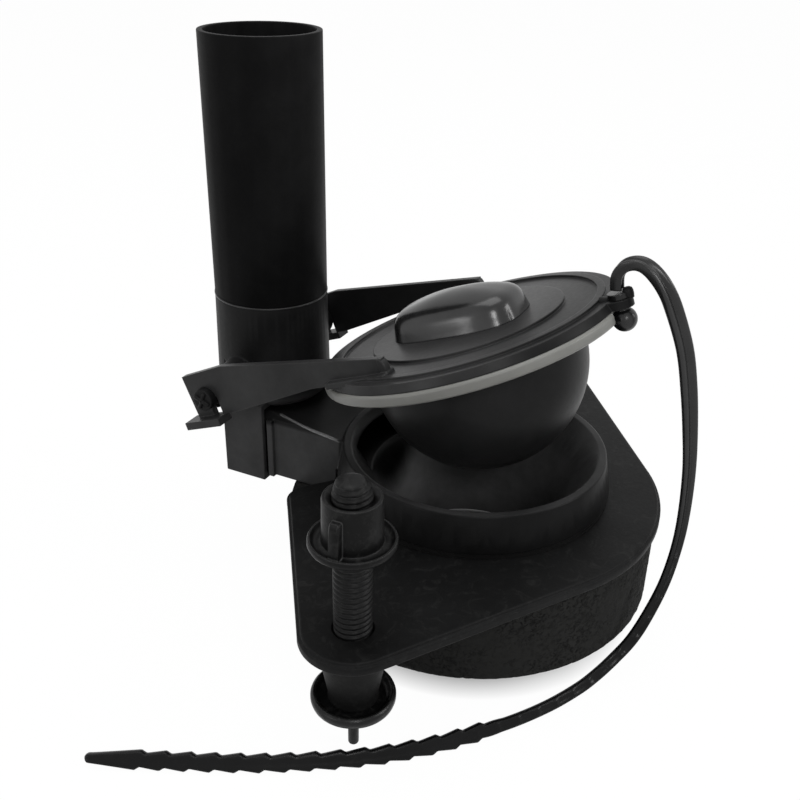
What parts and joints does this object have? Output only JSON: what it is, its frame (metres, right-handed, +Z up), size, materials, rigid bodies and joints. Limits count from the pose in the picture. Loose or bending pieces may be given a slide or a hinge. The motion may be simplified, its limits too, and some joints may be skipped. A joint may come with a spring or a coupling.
{
  "type": "toilet flush valve",
  "caption": "Flush valve for a toilet cistern: hinged float flapper over a seat bowl, overflow tube, bolt-down plate on a sponge gasket, toothed pull strap.",
  "frame": {"origin": "centre of the sponge gasket's underside, on the outlet's axis", "axes": "+Z up along the outlet's axis, the bolts on the X axis, the overflow tube on the +Y side"},
  "size_m": [0.1897, 0.1421, 0.1518],
  "materials": {
    "plate_black": "moulded black plastic, scuffed and dusty, satin",
    "sponge_black": "open-cell sponge rubber, matt and pitted",
    "rubber_black": "soft black rubber, matt",
    "body_black": "moulded black plastic, satin",
    "tube_black": "extruded black plastic, smooth satin",
    "fixing_black": "moulded dark grey plastic, worn on its edges",
    "flapper_grey": "moulded dark grey plastic, half gloss",
    "bulb_black": "blown dark plastic, smooth satin",
    "seal_milky": "milky silicone, slightly see-through",
    "strap_black": "flexible black plastic, satin"
  },
  "bodies": {
    "valve_body": {"mounting_plate": "plate_black", "sponge_gasket": "sponge_black", "seat_washer": "rubber_black", "seat_bowl": "body_black", "lock_nut": "body_black", "overflow_elbow": "body_black", "overflow_tube": "tube_black", "bolt_left": "fixing_black", "bolt_right": "fixing_black", "cup_washer_left": "fixing_black", "cup_washer_right": "fixing_black", "taper_bush_left": "rubber_black", "taper_bush_right": "rubber_black"},
    "flapper": {"flapper_frame": "flapper_grey", "seal_ring": "seal_milky", "float_bulb": "bulb_black", "float_dome": "flapper_grey", "strap_stud": "strap_black", "pull_strap": "strap_black"},
    "nut_left": {"nut_left": "fixing_black"},
    "nut_right": {"nut_right": "fixing_black"}
  },
  "joints": [
    {"name": "flapper_hinge", "type": "hinge", "parent": "valve_body", "child": "flapper", "pos_m": [0, 0.066, 0.0516], "axis": [-1, 0, 0], "range_deg": [-21, 21], "deforming": ["pull_strap"]},
    {"name": "nut_left_run", "type": "slide", "parent": "valve_body", "child": "nut_left", "axis": [0, 0, 1], "range_m": [-0.0225, 0.0033]},
    {"name": "nut_right_run", "type": "slide", "parent": "valve_body", "child": "nut_right", "axis": [0, 0, 1], "range_m": [-0.0225, 0.0033]}
  ]
}
